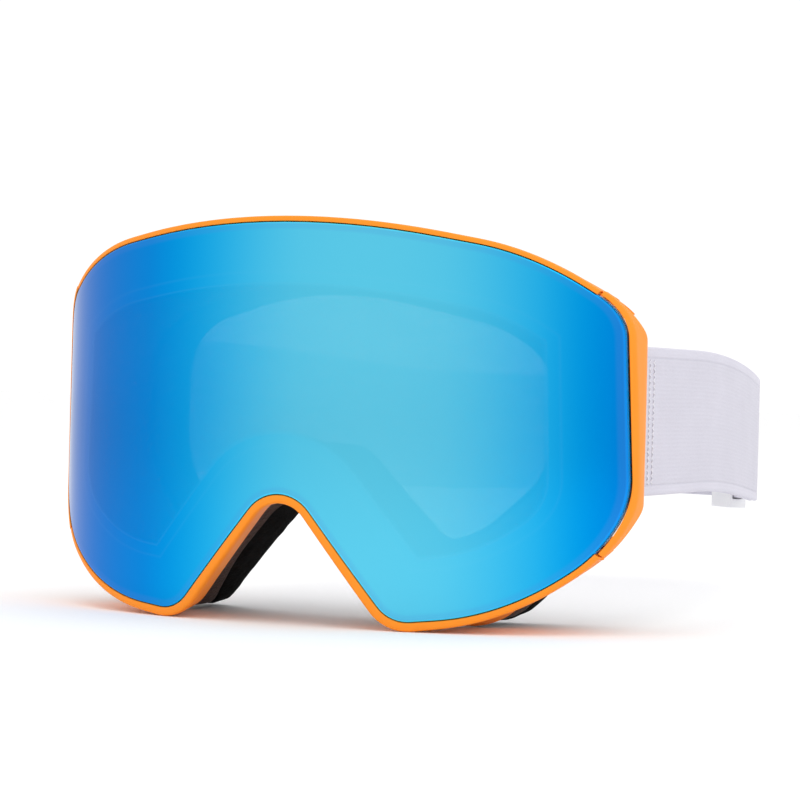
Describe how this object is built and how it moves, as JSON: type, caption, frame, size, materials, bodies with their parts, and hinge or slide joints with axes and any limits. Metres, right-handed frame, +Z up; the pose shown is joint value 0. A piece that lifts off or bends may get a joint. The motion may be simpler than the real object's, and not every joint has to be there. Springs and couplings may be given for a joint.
{
  "type": "ski goggles",
  "caption": "Wide cylindrical-lens ski goggles with a magnetic mirrored double lens, orange frame, layered face foam, hinged outriggers and an elastic head strap.",
  "frame": {"origin": "under the middle of the whole object's box, in the plane that the rim and foam stand on", "axes": "+X to the wearer's left, +Y from the lens back towards the head, +Z up"},
  "size_m": [0.1748, 0.2769, 0.1076],
  "materials": {
    "mirror_lens": "blue mirror coating, gloss",
    "clear_lens": "clear, anti-fog",
    "black_plastic": "moulded, matte",
    "magnet": "nickel plated",
    "gasket": "closed-cell foam",
    "orange_frame": "moulded, satin",
    "black_foam": "open-cell foam",
    "brown_foam": "open-cell foam",
    "fleece": "brushed fleece",
    "pin_steel": "ground",
    "strap_white": "knitted elastic",
    "thread": "polyester thread",
    "grip_print": "silicone print",
    "white_plastic": "moulded, gloss"
  },
  "bodies": {
    "frame": {"front_frame": "orange_frame", "frame_magnets": "magnet", "face_frame": "orange_frame", "top_vent_foam": "black_foam", "lower_vent_foam_left": "black_foam", "lower_vent_foam_right": "black_foam", "foam_base": "brown_foam", "foam_soft": "black_foam", "face_fleece": "fleece", "hinge_pins_left": "pin_steel", "hinge_pins_right": "pin_steel", "strap": "strap_white", "strap_return_left": "strap_white", "strap_return_right": "strap_white", "grip_lines": "grip_print"},
    "lens_module": {"outer_lens": "mirror_lens", "lens_carrier": "black_plastic", "lens_magnets": "magnet", "lens_gasket": "gasket", "inner_lens": "clear_lens"},
    "outrigger_left_arm": {"outrigger_left": "orange_frame", "strap_end_left": "strap_white", "bar_tacks_left": "thread"},
    "outrigger_right_arm": {"outrigger_right": "orange_frame", "strap_end_right": "strap_white", "bar_tacks_right": "thread"},
    "adjuster": {"strap_adjuster": "white_plastic"}
  },
  "joints": [
    {"name": "lens_release", "type": "slide", "parent": "frame", "child": "lens_module", "axis": [0, -1, 0], "range_m": [0, 0.045]},
    {"name": "outrigger_left_hinge", "type": "hinge", "parent": "frame", "child": "outrigger_left_arm", "pos_m": [-0.0785, -0.10605, 0.056], "axis": [0, 0, 1], "range_deg": [0, 8]},
    {"name": "outrigger_right_hinge", "type": "hinge", "parent": "frame", "child": "outrigger_right_arm", "pos_m": [0.0785, -0.10605, 0.056], "axis": [0, 0, -1], "range_deg": [0, 8]},
    {"name": "adjuster_slide", "type": "hinge", "parent": "frame", "child": "adjuster", "pos_m": [0, 0.08256, 0.049], "axis": [0, 0, 1], "range_deg": [-25, 30]}
  ]
}
